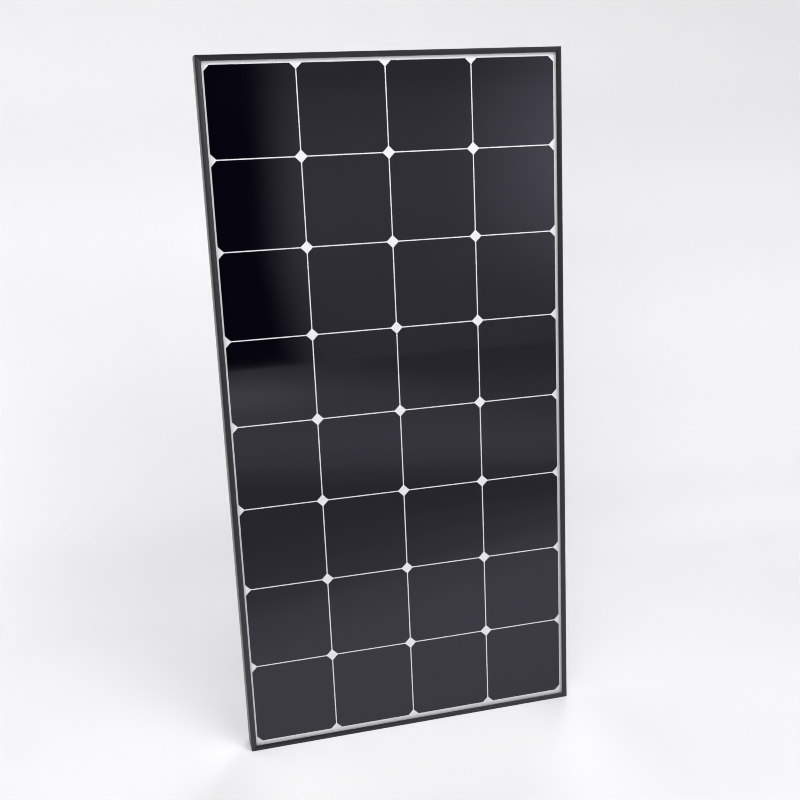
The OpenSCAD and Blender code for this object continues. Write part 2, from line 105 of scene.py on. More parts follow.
class Nodes:
    """Builds a node tree with short calls."""

    def __init__(self, tree):
        self.tree = tree
        self.tree.nodes.clear()

    def add(self, kind, **settings):
        node = self.tree.nodes.new(kind)
        for name, value in settings.items():
            setattr(node, name, value)
        return node

    def link(self, source, target):
        self.tree.links.new(source, target)

    def feed(self, socket, value):
        """Gives an input a number, a colour, or another node's output."""
        if isinstance(value, bpy.types.NodeSocket):
            self.link(value, socket)
        elif isinstance(value, tuple) and len(value) == 3 and socket.type == "RGBA":
            socket.default_value = (*value, 1.0)
        else:
            socket.default_value = value

    def maths(self, operation, a, b=0.0):
        node = self.add("ShaderNodeMath", operation=operation)
        self.feed(node.inputs[0], a)
        self.feed(node.inputs[1], b)
        return node.outputs[0]

    def place(self):
        """The point in the part's own frame, in metres, as a vector."""
        return self.add("ShaderNodeTexCoord").outputs["Object"]

    def axes(self, vector):
        split = self.add("ShaderNodeSeparateXYZ")
        self.link(vector, split.inputs[0])
        return split.outputs

    def scaled(self, vector, scale):
        node = self.add("ShaderNodeMapping")
        self.link(vector, node.inputs["Vector"])
        node.inputs["Scale"].default_value = scale
        return node.outputs[0]

    def noise(self, vector, scale, detail=2.0, roughness=0.5):
        node = self.add("ShaderNodeTexNoise")
        self.link(vector, node.inputs["Vector"])
        node.inputs["Scale"].default_value = scale
        node.inputs["Detail"].default_value = detail
        node.inputs["Roughness"].default_value = roughness
        return node.outputs["Fac"]

    def remap(self, value, low, high, to_low, to_high, smooth=False):
        """The value moved from one range to another and held inside it, with soft ends if smooth."""
        node = self.add("ShaderNodeMapRange")
        node.interpolation_type = "SMOOTHSTEP" if smooth else "LINEAR"
        self.feed(node.inputs["Value"], value)
        self.feed(node.inputs["From Min"], low)
        self.feed(node.inputs["From Max"], high)
        self.feed(node.inputs["To Min"], to_low)
        self.feed(node.inputs["To Max"], to_high)
        return node.outputs["Result"]

    def mix(self, factor, a, b):
        node = self.add("ShaderNodeMix", data_type="RGBA")
        self.feed(node.inputs["Factor"], factor)
        self.feed(node.inputs[6], a)
        self.feed(node.inputs[7], b)
        return node.outputs[2]

    def bump(self, height, distance):
        """A normal from a height of 0 to 1 that stands for the given distance."""
        node = self.add("ShaderNodeBump")
        node.inputs["Distance"].default_value = distance
        node.inputs["Strength"].default_value = 1.0
        self.link(height, node.inputs["Height"])
        return node.outputs[0]

    def edge_highlight(self, radius):
        """A mask for painted edge highlights: 0 on flat faces, rising to 1 along edges."""
        bevel = self.add("ShaderNodeBevel", samples=4)
        bevel.inputs["Radius"].default_value = radius
        geometry = self.add("ShaderNodeNewGeometry")
        dot = self.add("ShaderNodeVectorMath", operation="DOT_PRODUCT")
        self.link(bevel.outputs[0], dot.inputs[0])
        self.link(geometry.outputs["Normal"], dot.inputs[1])
        return self.remap(dot.outputs["Value"], 0.98, 0.80, 0.0, 1.0)

    def principled(self, **values):
        """A Principled shader wired to the output. Names use _ for spaces."""
        shader = self.add("ShaderNodeBsdfPrincipled")
        for name, value in values.items():
            self.feed(shader.inputs[name.replace("_", " ")], value)
        out = self.add("ShaderNodeOutputMaterial")
        self.link(shader.outputs[0], out.inputs["Surface"])
        return shader


def new_material(name):
    material = bpy.data.materials.new(name)
    material.use_nodes = True
    return material, Nodes(material.node_tree)


# ---- Materials ----

def frame_material(name, along):
    """Black anodised extrusion, with fine die lines along one axis, and painted highlights along its edges.
    """
    material, n = new_material(name)
    place = n.place()
    across = [900.0, 900.0, 900.0]
    across[along] = 3.0
    lines = n.noise(n.scaled(place, across), 1.0, 3.0, 0.6)
    cloud = n.noise(place, 9.0, 3.0)
    grain = n.noise(place, 1400.0, 2.0)
    # Painted highlight: the edges are painted lighter, as if they caught the light.
    edge = n.edge_highlight(0.35 * MM)
    tone = n.mix(cloud, (0.0080, 0.0080, 0.0090), (0.0115, 0.0115, 0.0125))
    tone = n.mix(n.maths("MULTIPLY", edge, 0.35), tone, (0.075, 0.075, 0.080))
    rough = n.maths("ADD", n.remap(lines, 0.3, 0.7, 0.36, 0.45), n.remap(cloud, 0.3, 0.7, -0.03, 0.04))
    height = n.maths("ADD", lines, n.maths("MULTIPLY", grain, 0.4))
    n.principled(Base_Color=tone, Roughness=rough, IOR=1.45,
                 Normal=n.bump(height, 0.006 * MM))
    return material


def bare_aluminium_material():
    material, n = new_material("bare_aluminium")
    place = n.place()
    grain = n.noise(n.scaled(place, (300.0, 900.0, 300.0)), 1.0, 3.0)
    tone = n.mix(grain, (0.52, 0.53, 0.55), (0.68, 0.69, 0.71))
    n.principled(Base_Color=tone, Metallic=1.0, Roughness=n.remap(grain, 0.3, 0.7, 0.28, 0.5),
                 Normal=n.bump(grain, 0.02 * MM))
    return material


def rubber_material(name, tone, rough):
    material, n = new_material(name)
    place = n.place()
    grain = n.noise(place, 1500.0, 3.0)
    dust = n.noise(place, 60.0, 4.0)
    light = tuple(min(1.0, c * 1.6 + 0.01) for c in tone)
    n.principled(Base_Color=n.mix(n.remap(dust, 0.45, 0.75, 0.0, 0.6), tone, light),
                 Roughness=n.remap(dust, 0.3, 0.7, rough - 0.06, rough + 0.06),
                 Normal=n.bump(grain, 0.03 * MM))
    return material


GLASS_IOR = 1.50
# Roughness of the gloss, from its clearest to its dullest streaks
GLASS_ROUGHNESS = (0.025, 0.045)


def glass_smear(n):
    """Slow, faint streaks that make the sheet a little less even, shared by all layers under the glass."""
    return n.noise(n.scaled(n.place(), (5.0, 5.0, 3.0)), 1.0, 4.0, 0.55)


def glass_roughness(n):
    return n.remap(glass_smear(n), 0.3, 0.7, *GLASS_ROUGHNESS)


def clear_output(n, tint):
    """A surface that only tints what lies behind it."""
    clear = n.add("ShaderNodeBsdfTransparent")
    n.link(tint, clear.inputs["Color"])
    out = n.add("ShaderNodeOutputMaterial")
    n.link(clear.outputs[0], out.inputs["Surface"])


def glass_material():
    """Low-iron solar glass, bonded to what lies below. Its gloss is carried by the opaque cells and
    white layer, so that one clean surface mirrors the room, and the sheet only tints."""
    material, n = new_material("solar_glass")
    clear_output(n, n.mix(glass_smear(n), (0.987, 0.991, 0.990), (0.991, 0.994, 0.993)))
    return material


def clear_film_material():
    """Cured encapsulant with a faint haze, bonded to glass and cells, so it mirrors nothing itself."""
    material, n = new_material("encapsulant_clear")
    haze = n.noise(n.place(), 35.0, 3.0)
    clear_output(n, n.mix(haze, (0.988, 0.986, 0.992), (0.996, 0.995, 0.998)))
    return material


# Painted light: the margin above the top cells is painted whiter than the gaps, to lift the shade that the
# frame's lip casts there: how far up it turns, by what share, and to what
HEAD_RISE = 2 * MM
HEAD_PAINTED_LIGHT_SHARE = 0.6
HEAD_PAINTED_LIGHT_TONE = (0.80, 0.795, 0.81)


def white_layer_material():
    """White laminate between the cells, under the gloss of the glass, with painted light along the top
    margin.
    """
    material, n = new_material("encapsulant_white")
    cloud = n.noise(n.place(), 14.0, 4.0)
    tone = n.mix(cloud, (0.575, 0.570, 0.582), (0.605, 0.600, 0.612))
    # Painted light: the top margin turns whiter, against the shade of the frame's lip.
    head = n.remap(n.axes(n.place())["Z"], cells_top, cells_top + HEAD_RISE, 0.0, HEAD_PAINTED_LIGHT_SHARE, True)
    n.principled(Base_Color=n.mix(head, tone, HEAD_PAINTED_LIGHT_TONE), IOR=GLASS_IOR, Roughness=glass_roughness(n))
    return material


# How far the backsheet's gap lines fade to each side, as a share of the cells' pitch
GAP_FADE = 0.016


def cell_grid_edge(n, place):
    """0 over a cell and 1 in the gaps between cells, from the grid's pitch."""
    axes = n.axes(place)
    first_x = cell_low.x - (cell_pitch - cell_side) / 2
    first_z = cell_low.z - (cell_pitch - cell_side) / 2
    masks = []
    for value, start in ((axes["X"], first_x), (axes["Z"], first_z)):
        step = n.maths("DIVIDE", n.maths("SUBTRACT", value, start), cell_pitch)
        share = n.maths("PINGPONG", step, 0.5)
        masks.append(n.remap(share, 0.0, GAP_FADE, 1.0, 0.0, smooth=True))
    return n.maths("MAXIMUM", masks[0], masks[1])


def backsheet_material():
    """White laminate back, a little lighter along the gaps between cells."""
    material, n = new_material("backsheet_white")
    place = n.place()
    cloud = n.noise(place, 6.0, 4.0)
    peel = n.noise(place, 420.0, 2.0)
    ridge = cell_grid_edge(n, place)
    tone = n.mix(cloud, (0.74, 0.745, 0.755), (0.80, 0.805, 0.81))
    tone = n.mix(n.maths("MULTIPLY", ridge, 0.5), tone, (0.83, 0.835, 0.84))
    n.principled(Base_Color=tone, Roughness=n.remap(peel, 0.3, 0.7, 0.34, 0.46),
                 Normal=n.bump(peel, 0.035 * MM))
    return material


def cell_material(name, seed):
    """Back-contact silicon under glass: near black and even, with a faint cloud that differs by wafer."""
    material, n = new_material(name)
    shifted = n.add("ShaderNodeVectorMath", operation="ADD")
    n.link(n.place(), shifted.inputs[0])
    shifted.inputs[1].default_value = (seed * 3.7, seed * 1.3, seed * 2.1)
    cloud = n.noise(shifted.outputs[0], 16.0, 3.0)
    lift = 1.0 + random.Random(seed).uniform(-0.07, 0.07)
    dark = (0.0009 * lift, 0.0008 * lift, 0.0024 * lift)
    light = (0.0016 * lift, 0.0014 * lift, 0.0038 * lift)
    n.principled(Base_Color=n.mix(cloud, dark, light), IOR=GLASS_IOR, Roughness=glass_roughness(n))
    return material


def ribbon_material(name, tone_a, tone_b):
    material, n = new_material(name)
    place = n.place()
    streak = n.noise(n.scaled(place, (400.0, 400.0, 120.0)), 1.0, 3.0)
    stain = n.noise(place, 180.0, 4.0)
    n.principled(Base_Color=n.mix(stain, tone_a, tone_b), Metallic=1.0,
                 Roughness=n.remap(streak, 0.3, 0.7, 0.22, 0.42), Normal=n.bump(streak, 0.01 * MM))
    return material


def plastic_material(name, tone, rough, grain_scale):
    """Moulded plastic with a fine spark-eroded grain, a little dust and softly lit edges."""
    material, n = new_material(name)
    place = n.place()
    grain = n.noise(place, grain_scale, 2.0, 0.7)
    dust = n.noise(place, 45.0, 5.0, 0.6)
    # Painted highlight: the edges are painted lighter, as if lit.
    edge = n.edge_highlight(0.5 * MM)
    light = tuple(c * 1.6 + 0.006 for c in tone)
    base = n.mix(n.remap(dust, 0.5, 0.8, 0.0, 0.5), tone, light)
    base = n.mix(n.maths("MULTIPLY", edge, 0.25), base, tuple(c * 2.2 + 0.012 for c in tone))
    n.principled(Base_Color=base, Roughness=n.remap(grain, 0.3, 0.7, rough - 0.06, rough + 0.08),
                 Normal=n.bump(grain, 0.035 * MM))
    return material


def silicone_material():
    material, n = new_material("silicone_white")
    place = n.place()
    smear = n.noise(place, 120.0, 3.0)
    n.principled(Base_Color=n.mix(smear, (0.62, 0.63, 0.62), (0.74, 0.745, 0.73)),
                 Roughness=n.remap(smear, 0.3, 0.7, 0.28, 0.44), Subsurface_Weight=0.1,
                 Subsurface_Radius=(0.002, 0.002, 0.002), Normal=n.bump(smear, 0.08 * MM))
    return material


DIODE_BODY = 9.5 * MM
# The cathode band: its place and half its width, as shares of the body's length
DIODE_BAND = (0.30, 0.07)


def diode_material(node):
    """Black epoxy body with a silver band at one end, on tinned leads, told apart along the diode's axis."""
    material, n = new_material("diode_epoxy_" + node)
    low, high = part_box(node)
    middle = (low.x + high.x) / 2
    along = n.maths("SUBTRACT", n.axes(n.place())["X"], middle)
    lead = n.maths("GREATER_THAN", n.maths("ABSOLUTE", along), DIODE_BODY / 2 + 0.02 * MM)
    band = n.maths("COMPARE", along, DIODE_BODY * DIODE_BAND[0])
    band.node.inputs[2].default_value = DIODE_BODY * DIODE_BAND[1]
    grain = n.noise(n.place(), 2600.0, 2.0)
    tone = n.mix(grain, (0.016, 0.016, 0.018), (0.024, 0.024, 0.026))
    tone = n.mix(band, tone, (0.55, 0.56, 0.57))
    tone = n.mix(lead, tone, (0.66, 0.66, 0.67))
    n.principled(Base_Color=tone, Metallic=lead, Roughness=n.remap(grain, 0.3, 0.7, 0.30, 0.44),
                 Normal=n.bump(grain, 0.01 * MM))
    return material


def steel_material():
    material, n = new_material("screw_steel")
    place = n.place()
    grain = n.noise(place, 900.0, 3.0)
    n.principled(Base_Color=n.mix(grain, (0.45, 0.455, 0.47), (0.62, 0.625, 0.64)), Metallic=1.0,
                 Roughness=n.remap(grain, 0.3, 0.7, 0.25, 0.42), Normal=n.bump(grain, 0.01 * MM))
    return material


LABEL_BORDER_INSET = 3.0 * MM
LABEL_BORDER_HALF = 0.3 * MM


def label_material():
    """Blank silver film with a thin printed border."""
    material, n = new_material("label_film")
    place = n.place()
    low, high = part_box("rating_label")
    axes = n.axes(place)
    gaps = []
    for axis, a, b in (("X", low.x, high.x), ("Z", low.z, high.z)):
        middle = (a + b) / 2
        off = n.maths("ABSOLUTE", n.maths("SUBTRACT", axes[axis], middle))
        gaps.append(n.maths("SUBTRACT", (b - a) / 2, off))
    inset = n.maths("MINIMUM", gaps[0], gaps[1])
    line = n.maths("COMPARE", inset, LABEL_BORDER_INSET)
    line.node.inputs[2].default_value = LABEL_BORDER_HALF
    brushed = n.noise(n.scaled(place, (60.0, 900.0, 1200.0)), 1.0, 2.0)
    tone = n.mix(brushed, (0.50, 0.51, 0.53), (0.60, 0.61, 0.63))
    tone = n.mix(line, tone, (0.03, 0.03, 0.035))
    n.principled(Base_Color=tone, Metallic=0.4, Roughness=n.remap(brushed, 0.3, 0.7, 0.32, 0.45),
                 Normal=n.bump(brushed, 0.008 * MM))
    return material


def make_materials():
    made = {
        "bare_aluminium": bare_aluminium_material(),
        "seal_black": rubber_material("seal_black", (0.018, 0.018, 0.020), 0.62),
        "solar_glass": glass_material(),
        "encapsulant_clear": clear_film_material(),
        "encapsulant_white": white_layer_material(),
        "backsheet_white": backsheet_material(),
        "tinned_copper": ribbon_material("tinned_copper", (0.60, 0.60, 0.62), (0.72, 0.71, 0.70)),
        "silicone_white": silicone_material(),
        "box_plastic": plastic_material("box_plastic", (0.0095, 0.0098, 0.0105), 0.46, 1500.0),
        "nut_plastic": plastic_material("nut_plastic", (0.0135, 0.014, 0.0155), 0.36, 1900.0),
        "gasket_rubber": rubber_material("gasket_rubber", (0.022, 0.022, 0.024), 0.7),
        "terminal_metal": ribbon_material("terminal_metal", (0.50, 0.485, 0.455), (0.62, 0.605, 0.575)),
        "screw_steel": steel_material(),
        "bypass_diode_left": diode_material("bypass_diode_left"),
        "bypass_diode_right": diode_material("bypass_diode_right"),
        "label_film": label_material(),
    }
    upright = frame_material("frame_black_upright", 2)
    level = frame_material("frame_black_level", 0)
    for side in ("left", "right"):
        made["frame_rail_" + side] = upright
    for side in ("top", "bottom"):
        made["frame_rail_" + side] = level
    return made


def paint(obj, material):
    obj.data.materials.clear()
    obj.data.materials.append(material)


CELL_KINDS = 6
CELL_SEED = 11


def paint_cad_nodes(materials):
    """Gives every CAD node its material, with the cells dealt out over a few kinds of wafer."""
    kinds = [cell_material(f"silicon_cell_{k}", k) for k in range(CELL_KINDS)]
    chooser = random.Random(CELL_SEED)
    for name in sorted(nodes):
        if name.startswith("cell_") and name != "cell_interconnects":
            paint(nodes[name], kinds[chooser.randrange(len(kinds))])
        else:
            paint(nodes[name], materials.get(name) or materials[slot_of[name]])


# ---- Pieces that replace CAD nodes ----

def add_piece(name, mesh, node, materials):
    """Links a mesh as a piece that stands for a CAD node and takes its body and slot."""
    piece = bpy.data.objects.new(name, mesh)
    piece.matrix_world = nodes[node].matrix_world.copy()
    bpy.context.scene.collection.objects.link(piece)
    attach(piece, body_of[node])
    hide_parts(node)
    paint(piece, materials.get(node) or materials[slot_of[node]])
    return piece


def mesh_from(name, shape):
    """A mesh made from a bmesh, which is freed."""
    mesh = bpy.data.meshes.new(name)
    shape.normal_update()
    shape.to_mesh(mesh)
    shape.free()
    return mesh


def clean_copy(node):
    """The node's mesh with its triangles joined into flat faces, ready to be bevelled."""
    shape = bmesh.new()
    shape.from_mesh(nodes[node].data)
    bmesh.ops.remove_doubles(shape, verts=shape.verts, dist=0.002 * MM)
    bmesh.ops.dissolve_limit(shape, angle_limit=math.radians(0.5), verts=shape.verts,
                             edges=shape.edges, delimit={"NORMAL"})
    return shape


RAIL_ROUNDING = 0.22 * MM
BOX_BASE_ROUNDING = 0.35 * MM
BOX_LID_ROUNDING = 0.45 * MM
# Edges that turn by more than this are rounded, in so many steps
ROUND_FROM_DEGREES = 32.0
ROUND_STEPS = 2


def rounded_piece(node, radius, materials):
    """A copy of a CAD node whose sharp edges are rounded over."""
    mesh = mesh_from(node + "_rounded", clean_copy(node))
    piece = add_piece(node + "_finished", mesh, node, materials)
    bevel = piece.modifiers.new("round_edges", "BEVEL")
    bevel.width = radius
    bevel.segments = ROUND_STEPS
    bevel.limit_method = "ANGLE"
    bevel.angle_limit = math.radians(ROUND_FROM_DEGREES)
    bevel.use_clamp_overlap = True
    bevel.harden_normals = False
    bpy.context.view_layer.update()
    depsgraph = bpy.context.evaluated_depsgraph_get()
    final = bpy.data.meshes.new_from_object(piece.evaluated_get(depsgraph))
    piece.modifiers.clear()
    piece.data = final
    smooth_by_angle(piece, 40.0)
    return piece


def smooth_by_angle(piece, degrees):
    """Smooth shading, with the edges that turn by more than an angle kept crisp."""
    mesh = piece.data
    mesh.shade_smooth()
    mesh.set_sharp_from_angle(angle=math.radians(degrees))


def seen_straight_only(obj):
    """A clear layer that bounced light skips, because each clear layer on its way adds noise."""
    obj.visible_glossy = False
    obj.visible_diffuse = False


FILM_GAP = 0.03 * MM
FILM_CORNER = 2 * MM


def film_piece(materials):
    """The clear layer, drawn a hair thinner so that no face lies in the same plane as its neighbours'."""
    low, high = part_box("front_encapsulant")
    low = low + Vector((FILM_GAP, FILM_GAP, FILM_GAP))
    high = high - Vector((FILM_GAP, FILM_GAP, FILM_GAP))
    shape = bmesh.new()
    bmesh.ops.create_cube(shape, size=1.0)
    bmesh.ops.scale(shape, vec=high - low, verts=shape.verts)
    bmesh.ops.translate(shape, vec=(low + high) / 2, verts=shape.verts)
    corners = [e for e in shape.edges if abs((e.verts[0].co - e.verts[1].co).y) > FILM_GAP]
    bmesh.ops.bevel(shape, geom=corners, offset=FILM_CORNER, segments=3, affect="EDGES")
    mesh = mesh_from("front_encapsulant_film", shape)
    seen_straight_only(add_piece("front_encapsulant_film", mesh, "front_encapsulant", materials))


GROOVE_DEPTH = 0.12 * MM
GROOVE_REACH = 1.3 * MM
# The grooves end this far inside the backsheet's edge, where the seal holds it flat
GROOVE_INSET = 11 * MM
# Points closer than this count as lying on the same line
HAIR = 0.01 * MM


def backsheet_piece(materials):
    """The backsheet, which sinks a little into the gaps between the cells."""
    shape = clean_copy("backsheet")
    half_gap = (cell_pitch - cell_side) / 2
    lines = [(0, cell_low.x - half_gap + cell_pitch * k) for k in range(1, 4)]
    lines += [(2, cell_low.z - half_gap - cell_pitch * k) for k in range(7)]
    ends = [(0, backsheet_low.x + GROOVE_INSET), (0, backsheet_high.x - GROOVE_INSET),
            (2, backsheet_low.z + GROOVE_INSET), (2, backsheet_high.z - GROOVE_INSET)]
    cuts = ends + [(axis, at + off) for axis, at in lines for off in (-GROOVE_REACH, 0.0, GROOVE_REACH)]
    for axis, at in cuts:
        normal = Vector((0, 0, 0))
        normal[axis] = 1.0
        bmesh.ops.bisect_plane(shape, geom=shape.verts[:] + shape.edges[:] + shape.faces[:],
                               dist=0.1 * HAIR, plane_co=normal * at, plane_no=normal)
    for vert in shape.verts:
        at = vert.co
        inside = (ends[0][1] + HAIR < at.x < ends[1][1] - HAIR
                  and ends[2][1] + HAIR < at.z < ends[3][1] - HAIR)
        on_line = any(abs(at[axis] - place) < HAIR for axis, place in lines)
        if inside and on_line and at.y > backsheet_high.y - HAIR:
            at.y -= GROOVE_DEPTH
    piece = add_piece("backsheet_grooved", mesh_from("backsheet_grooved", shape), "backsheet", materials)
    smooth_by_angle(piece, 30.0)


def join_sections(shape, sections):
    """Faces between closed sections of equal length that follow each other around a loop."""
    for here, there in zip(sections, sections[1:] + sections[:1]):
        for i in range(len(here)):
            j = (i + 1) % len(here)
            shape.faces.new((here[i], there[i], there[j], here[j]))


def add_ring_solid(shape, middle, turn, loops, steps):
    """A closed ring around a middle. Each loop is a radius as a function of the angle, and a height."""
    sections = []
    for k in range(steps):
        angle = 2 * math.pi * k / steps
        out = Vector((math.cos(angle), math.sin(angle), 0))
        points = [out * radius_at(angle) + Vector((0, 0, height)) for radius_at, height in loops]
        sections.append([shape.verts.new(middle + turn @ point) for point in points])
    join_sections(shape, sections)


def hex_radius(across_flats, cap, angle):
    """Distance to a hexagon's side whose flats face the local X axis, held inside a circle."""
    sector = math.pi / 3
    off = (angle + sector / 2) % sector - sector / 2
    return min(across_flats / 2 / math.cos(off), cap)


# Outline of the nut's dome, in mm: (radius, height above its foot), from outside to the cable's hole
NUT_DOME = ((7.25, 4.6), (7.15, 2.6), (6.75, 1.5), (6.0, 0.7), (5.1, 0.2), (4.4, 0.0), (3.75, 0.0),
            (3.45, 0.3), (3.42, 2.0))
# Outline of the hexagon's turned corners, in mm: (radius, height below its top) and above its foot
NUT_HEAD = ((7.7, 0.0), (8.35, 0.5), (8.7, 1.0))
NUT_SHOULDER = ((8.7, 5.9), (8.3, 5.3), (7.45, 4.9))
NUT_BORE = 5.60 * MM
NUT_BORE_FLOOR = 2.0 * MM
NUT_STEPS = 144
# The flutes' number and their depth in mm. Only the dome's steep part has them, above a radius in mm
FLUTES = 18
FLUTE_DEPTH = 0.28
FLUTE_FROM_RADIUS = 6.5


def fluted_radius(radius, angle):
    """The dome's radius in metres at an angle, from its radius in mm."""
    depth = FLUTE_DEPTH if radius > FLUTE_FROM_RADIUS else 0.0
    return (radius - depth * max(0.0, math.cos(FLUTES * angle)) ** 3) * MM


def gland_nut_piece(materials):
    """Two moulded nuts: a hexagon with turned corners above, and a fluted dome below."""
    low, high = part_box("gland_nuts")
    across = high.y - low.y
    corner = across / math.sqrt(3)
    shape = bmesh.new()
    turn = Matrix.Rotation(math.pi / 2, 3, "Z")
    top = high.z - low.z
    hexagon = [(r, top - z * MM) for r, z in NUT_HEAD] + [(r, z * MM) for r, z in NUT_SHOULDER]
    loops = [(lambda t, cap=r: hex_radius(across, cap * MM, t), z) for r, z in hexagon]
    loops += [(lambda t, r=r: fluted_radius(r, t), z * MM) for r, z in NUT_DOME]
    loops += [(lambda t: NUT_BORE, NUT_BORE_FLOOR), (lambda t: NUT_BORE, top)]
    for x in (low.x + corner, high.x - corner):
        add_ring_solid(shape, Vector((x, (low.y + high.y) / 2, low.z)), turn, loops, NUT_STEPS)
    bmesh.ops.recalc_face_normals(shape, faces=shape.faces)
    piece = add_piece("gland_nuts_finished", mesh_from("gland_nuts_finished", shape), "gland_nuts", materials)
    smooth_by_angle(piece, 35.0)


def outline_point(low, high, radius, share):
    """A point and its outward direction on a rounded rectangle in X and Z, by share of its length."""
    width, height = high.x - low.x - 2 * radius, high.z - low.z - 2 * radius
    arc = math.pi * radius / 2
    total = 2 * (width + height) + 4 * arc
    run = share % 1.0 * total
    corners = [(high.x - radius, low.z + radius, -90), (high.x - radius, high.z - radius, 0),
               (low.x + radius, high.z - radius, 90), (low.x + radius, low.z + radius, 180)]
    lengths = [height, width, height, width]
    for (cx, cz, start), straight in zip(corners, lengths):
        if run < arc:
            angle = math.radians(start + 90 * run / arc)
            out = Vector((math.cos(angle), 0, math.sin(angle)))
            return Vector((cx, 0, cz)) + out * radius, out
        run -= arc
        angle = math.radians(start + 90)
        out = Vector((math.cos(angle), 0, math.sin(angle)))
        along = Vector((-out.z, 0, out.x))
        if run < straight:
            return Vector((cx, 0, cz)) + out * radius + along * run, out
        run -= straight
    return Vector((low.x, 0, low.z)), Vector((-1, 0, 0))


def add_band(shape, low, high, radius, steps, section_at):
    """A closed band around a rounded rectangle. section_at gives (distance outward, y) pairs at a place."""
    sections = []
    for k in range(steps):
        place, out = outline_point(low, high, radius, k / steps)
        pairs = section_at(place)
        sections.append([shape.verts.new(Vector((place.x, y, place.z)) + out * a) for a, y in pairs])
    join_sections(shape, sections)


BOX_CORNER = 5 * MM
# The adhesive's edge lies this far inside the box's
ADHESIVE_INSET = 1 * MM
# The bead's mean width and height, how much each sways, and its steps around the box
BEAD_WIDTH = (1.25 * MM, 0.75 * MM)
BEAD_HEIGHT = (1.55 * MM, 0.55 * MM)
BEAD_STEPS = 420
# The bead's outer curve, as shares of its width and height
BEAD_CURVE = ((1.0, 0.0), (0.97, 0.30), (0.80, 0.62), (0.48, 0.88))
# The bead stays this clear of the backsheet and the box's foot
BEAD_GAP = 0.02 * MM
# and this clear of the adhesive's core and of the box's side
BEAD_CORE_GAP = 0.05 * MM
BEAD_SIDE_GAP = 0.04 * MM


def bead_section(place):
    """The bead's section at a place: its width and height sway slowly along the edge."""
    foot = backsheet_high.y + BEAD_GAP
    under = box_base_low.y - BEAD_GAP
    inner = BEAD_CORE_GAP - ADHESIVE_INSET
    sway = noise.noise(place * 60.0) + 0.5 * noise.noise(place * 190.0)
    width = BEAD_WIDTH[0] + BEAD_WIDTH[1] * sway
    height = BEAD_HEIGHT[0] + BEAD_HEIGHT[1] * noise.noise(place * 75.0 + Vector((9, 0, 0)))
    outer = [(a * width, foot + b * height) for a, b in BEAD_CURVE]
    upper = [(BEAD_SIDE_GAP, foot + height), (BEAD_SIDE_GAP, under), (inner, under)]
    return [(inner, foot)] + outer + upper


def adhesive_piece(materials):
    """The adhesive under the box, with the uneven bead that is pressed out around its edge."""
    shape = clean_copy("box_adhesive")
    reach = Vector((ADHESIVE_INSET, 0, ADHESIVE_INSET))
    low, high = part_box("box_adhesive")
    add_band(shape, low - reach, high + reach, BOX_CORNER, BEAD_STEPS, bead_section)
    bmesh.ops.recalc_face_normals(shape, faces=shape.faces)
    piece = add_piece("box_adhesive_bead", mesh_from("box_adhesive_bead", shape), "box_adhesive", materials)
    smooth_by_angle(piece, 50.0)


def raised_bar(shape, low, high, slope):
    """A low bar with sloping sides, raised towards +Y."""
    foot = [(low.x, low.z), (high.x, low.z), (high.x, high.z), (low.x, high.z)]
    head = [(low.x + slope, low.z + slope), (high.x - slope, low.z + slope),
            (high.x - slope, high.z - slope), (low.x + slope, high.z - slope)]
    bottom = [shape.verts.new((x, low.y, z)) for x, z in foot]
    top = [shape.verts.new((x, high.y, z)) for x, z in head]
    shape.faces.new(bottom)
    shape.faces.new(top)
    for i in range(4):
        j = (i + 1) % 4
        shape.faces.new((bottom[i], bottom[j], top[j], top[i]))


# The lid's raised parts are sunk a little into it and stand proud of it
LID_SINK = 0.15 * MM
LID_RISE = 0.45 * MM
# The rim line's place inside the adhesive's box, its corner radius, width, side slope and steps
RIM_INSET = 9 * MM
RIM_CORNER = 4 * MM
RIM_WIDTH = 1.4 * MM
RIM_SLOPE = 0.25 * MM
RIM_STEPS = 160
# The finger ribs: distance of each set from the middle, count, first height, spacing and size of a rib
RIB_OFFSET = 48 * MM
RIB_COUNT = 3
RIB_START = 1.2 * MM
RIB_SPACING = 2.2 * MM
RIB_SIZE = (8 * MM, 1.1 * MM)
RIB_SLOPE = 0.3 * MM


def lid_piece(materials):
    """The lid with rounded edges, a raised rim line, and finger ribs near the latches."""
    piece = rounded_piece("junction_box_lid", BOX_LID_ROUNDING, materials)
    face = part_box("junction_box_lid")[1].y
    sunk, proud = face - LID_SINK, face + LID_RISE
    low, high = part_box("box_adhesive")
    shape = bmesh.new()
    shape.from_mesh(piece.data)
    rim = Vector((RIM_INSET, 0, RIM_INSET))
    section = [(0.0, sunk), (-RIM_SLOPE, proud), (RIM_SLOPE - RIM_WIDTH, proud), (-RIM_WIDTH, sunk)]
    add_band(shape, low + rim, high - rim, RIM_CORNER, RIM_STEPS, lambda place: section)
    for x in (-RIB_OFFSET, RIB_OFFSET):
        for step in range(RIB_COUNT):
            z = low.z + RIB_START + step * RIB_SPACING
            raised_bar(shape, Vector((x - RIB_SIZE[0] / 2, sunk, z)),
                       Vector((x + RIB_SIZE[0] / 2, proud, z + RIB_SIZE[1])), RIB_SLOPE)
    bmesh.ops.recalc_face_normals(shape, faces=shape.faces)
    piece.data = mesh_from("junction_box_lid_ribbed", shape)
    paint(piece, materials["box_plastic"])
    smooth_by_angle(piece, 40.0)


# ---- Studio ----

WALL_Y = 0.74
SEAM_RADIUS = 0.20
STUDIO_REACH = 7.0
WALL_TOP = 5.0
